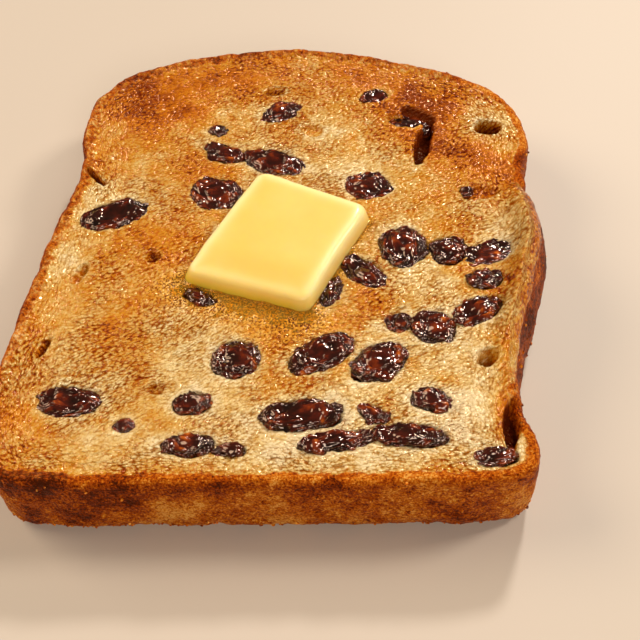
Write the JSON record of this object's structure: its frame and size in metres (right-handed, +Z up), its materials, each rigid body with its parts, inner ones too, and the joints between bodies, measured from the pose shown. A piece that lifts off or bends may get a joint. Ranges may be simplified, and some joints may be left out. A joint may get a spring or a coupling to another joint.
{
  "type": "buttered toast",
  "caption": "Slice of toasted raisin bread lying flat, with a soft pat of butter near the middle and raisins set in the crumb.",
  "frame": {"origin": "middle of the slice's box, on the surface that the slice lies on", "axes": "+X across the slice to the curled side, +Y from the base crust to the crown of the loaf, +Z up out of the buttered face"},
  "size_m": [0.1144, 0.1244, 0.0239],
  "materials": {
    "toasted_bread": "matt toasted crumb with a browned crust",
    "butter": "smooth and soft, slightly translucent",
    "raisin": "wrinkled and glossy"
  },
  "bodies": {
    "root": {"toast_slice": "toasted_bread", "butter_pat": "butter", "raisin_01": "raisin", "raisin_02": "raisin", "raisin_03": "raisin", "raisin_04": "raisin", "raisin_05": "raisin", "raisin_06": "raisin", "raisin_07": "raisin", "raisin_08": "raisin", "raisin_09": "raisin", "raisin_10": "raisin", "raisin_11": "raisin", "raisin_12": "raisin", "raisin_13": "raisin", "raisin_14": "raisin", "raisin_15": "raisin", "raisin_16": "raisin", "raisin_17": "raisin", "raisin_18": "raisin", "raisin_19": "raisin", "raisin_20": "raisin", "raisin_21": "raisin", "raisin_22": "raisin", "raisin_23": "raisin", "raisin_24": "raisin", "raisin_25": "raisin", "raisin_26": "raisin", "raisin_27": "raisin", "raisin_28": "raisin", "raisin_29": "raisin", "raisin_30": "raisin", "raisin_31": "raisin", "raisin_32": "raisin", "raisin_33": "raisin", "raisin_34": "raisin"}
  },
  "joints": []
}
